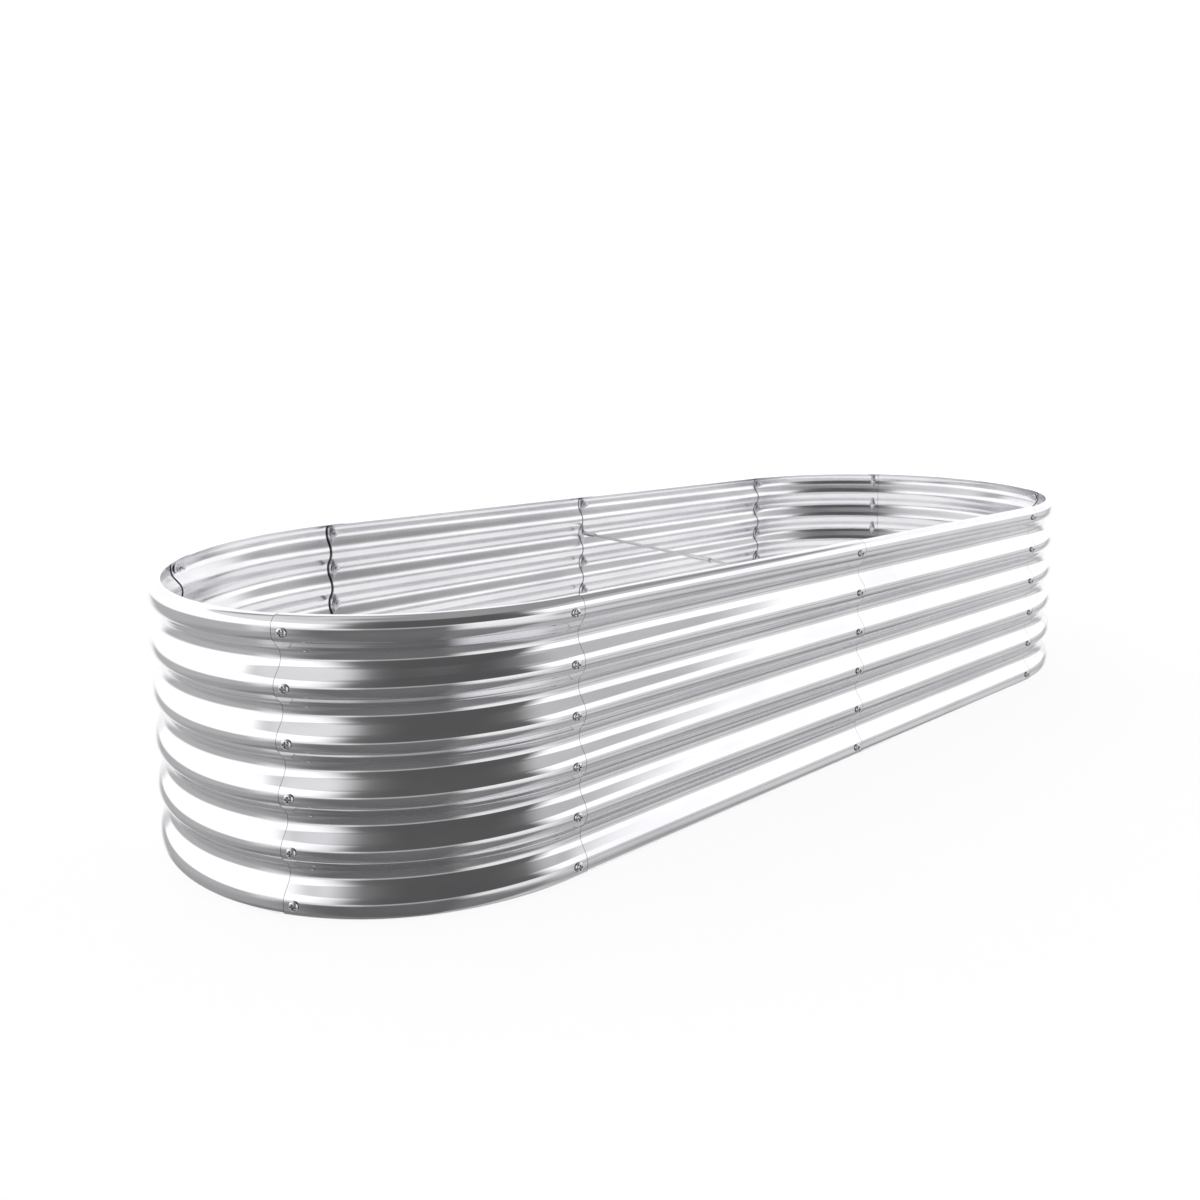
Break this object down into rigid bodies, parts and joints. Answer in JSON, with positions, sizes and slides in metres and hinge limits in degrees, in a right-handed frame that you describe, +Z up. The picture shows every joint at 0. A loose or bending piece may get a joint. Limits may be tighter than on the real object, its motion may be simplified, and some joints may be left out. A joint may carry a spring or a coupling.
{
  "type": "raised garden bed",
  "caption": "Oval open-bottomed raised garden bed: a bolted ring of horizontally corrugated galvanised steel panels with a threaded brace across the middle.",
  "frame": {"origin": "on the ground at the middle of the bed", "axes": "+X along the bed's long axis, +Y across it towards the back, +Z up"},
  "size_m": [1.4782, 0.597, 0.283],
  "materials": {
    "galvanised_sheet": "bright polished galvanised sheet, rolled along the ridges",
    "zinc_screws": "bright zinc-plated steel",
    "zinc_nuts": "bright zinc-plated steel",
    "zinc_brace": "zinc-plated threaded rod and tube"
  },
  "bodies": {
    "root": {"side_panel_front_right": "galvanised_sheet", "corner_panel_front_right": "galvanised_sheet", "end_panel_right": "galvanised_sheet", "corner_panel_back_right": "galvanised_sheet", "side_panel_back_right": "galvanised_sheet", "side_panel_back_left": "galvanised_sheet", "corner_panel_back_left": "galvanised_sheet", "end_panel_left": "galvanised_sheet", "corner_panel_front_left": "galvanised_sheet", "side_panel_front_left": "galvanised_sheet", "screws_front_middle": "zinc_screws", "screws_front_right": "zinc_screws", "screws_right_front": "zinc_screws", "screws_right_back": "zinc_screws", "screws_back_right": "zinc_screws", "screws_back_middle": "zinc_screws", "screws_back_left": "zinc_screws", "screws_left_back": "zinc_screws", "screws_left_front": "zinc_screws", "screws_front_left": "zinc_screws", "nuts_front_middle": "zinc_nuts", "nuts_front_right": "zinc_nuts", "nuts_right_front": "zinc_nuts", "nuts_right_back": "zinc_nuts", "nuts_back_right": "zinc_nuts", "nuts_back_middle": "zinc_nuts", "nuts_back_left": "zinc_nuts", "nuts_left_back": "zinc_nuts", "nuts_left_front": "zinc_nuts", "nuts_front_left": "zinc_nuts", "brace_sleeve_front": "zinc_brace", "brace_sleeve_back": "zinc_brace", "brace_rod_front": "zinc_brace", "brace_rod_back": "zinc_brace", "brace_coupler": "zinc_brace", "brace_lock_nut": "zinc_nuts"}
  },
  "joints": []
}
